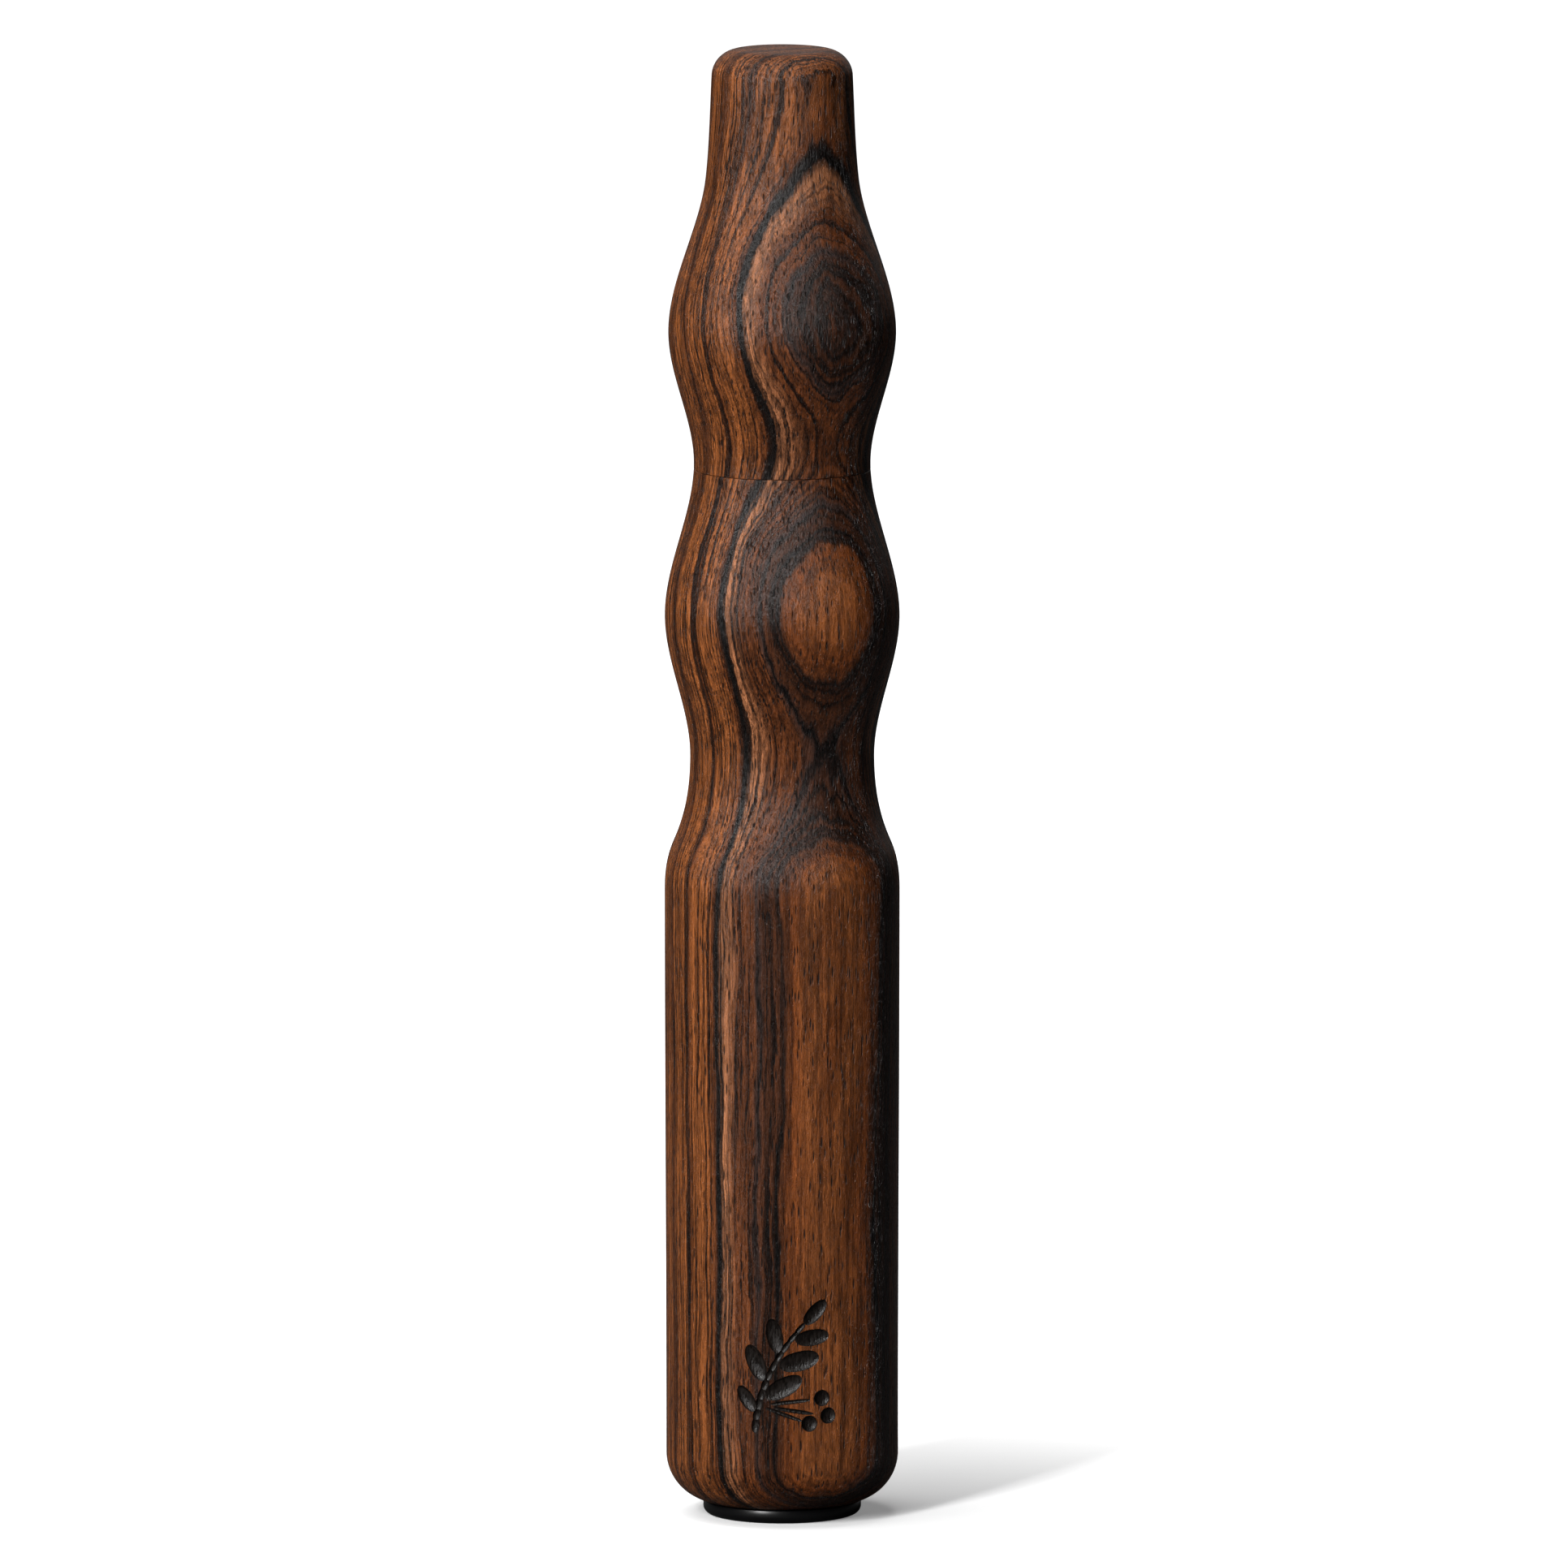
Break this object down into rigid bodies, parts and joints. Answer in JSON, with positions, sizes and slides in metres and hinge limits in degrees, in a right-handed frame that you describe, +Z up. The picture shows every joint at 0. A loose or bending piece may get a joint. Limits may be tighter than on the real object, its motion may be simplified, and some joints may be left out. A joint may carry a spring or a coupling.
{
  "type": "pepper mill",
  "caption": "tall turned hardwood pepper mill with a two-bead twist grip, standing on the adjusting ring of its ceramic burr mechanism",
  "frame": {"origin": "centre of the adjusting ring's underside, on the surface that the mill stands on", "axes": "+Z up along the turning axis; +X along one of the three lugs of the burr lifter"},
  "size_m": [0.065, 0.065, 0.408],
  "materials": {
    "barrel_wood": "satin",
    "head_wood": "satin",
    "housing_lower": "satin",
    "housing_cap": "satin",
    "outer_burr": "matte",
    "snap_ring": "bright",
    "flange_screw_1": "bright",
    "flange_screw_2": "bright",
    "flange_screw_3": "bright",
    "head_socket": "satin",
    "drive_shaft": "drawn",
    "shaft_bush": "satin",
    "shaft_clip": "bright",
    "shaft_end_screw": "bright",
    "inner_burr": "matte",
    "burr_driver": "satin",
    "burr_spring": "bright",
    "adjusting_ring": "satin",
    "burr_lifter": "satin",
    "thrust_washer": "bright"
  },
  "bodies": {
    "mill_body": {"barrel_wood": "barrel_wood", "housing_lower": "housing_lower", "housing_cap": "housing_cap", "outer_burr": "outer_burr", "snap_ring": "snap_ring", "flange_screw_1": "flange_screw_1", "flange_screw_2": "flange_screw_2", "flange_screw_3": "flange_screw_3"},
    "head": {"head_wood": "head_wood", "head_socket": "head_socket"},
    "drive": {"drive_shaft": "drive_shaft", "shaft_bush": "shaft_bush", "shaft_clip": "shaft_clip", "shaft_end_screw": "shaft_end_screw"},
    "grinding_cone": {"inner_burr": "inner_burr", "burr_driver": "burr_driver", "burr_spring": "burr_spring"},
    "adjuster": {"adjusting_ring": "adjusting_ring"},
    "lifter": {"burr_lifter": "burr_lifter", "thrust_washer": "thrust_washer"}
  },
  "joints": [
    {"name": "head_turn", "type": "hinge", "parent": "mill_body", "child": "drive", "pos_m": [0, 0, 0.2], "axis": [0, 0, 1], "continuous": true},
    {"name": "head_lift", "type": "slide", "parent": "drive", "child": "head", "axis": [0, 0, 1], "range_m": [0, 0.045]},
    {"name": "adjust_turn", "type": "hinge", "parent": "mill_body", "child": "adjuster", "pos_m": [0, 0, 0.005], "axis": [0, 0, 1], "range_deg": [0, 75]},
    {"name": "lifter_rise", "type": "slide", "parent": "mill_body", "child": "lifter", "axis": [0, 0, 1], "range_m": [0, 0.0012]},
    {"name": "cone_rise", "type": "slide", "parent": "drive", "child": "grinding_cone", "axis": [0, 0, 1], "range_m": [0, 0.0012], "deforming": ["burr_spring"]}
  ],
  "couplings": [
    {"joint": "lifter_rise", "follows": "adjust_turn", "m_per_rad": 0.0009167},
    {"joint": "cone_rise", "follows": "adjust_turn", "m_per_rad": 0.0009167}
  ]
}
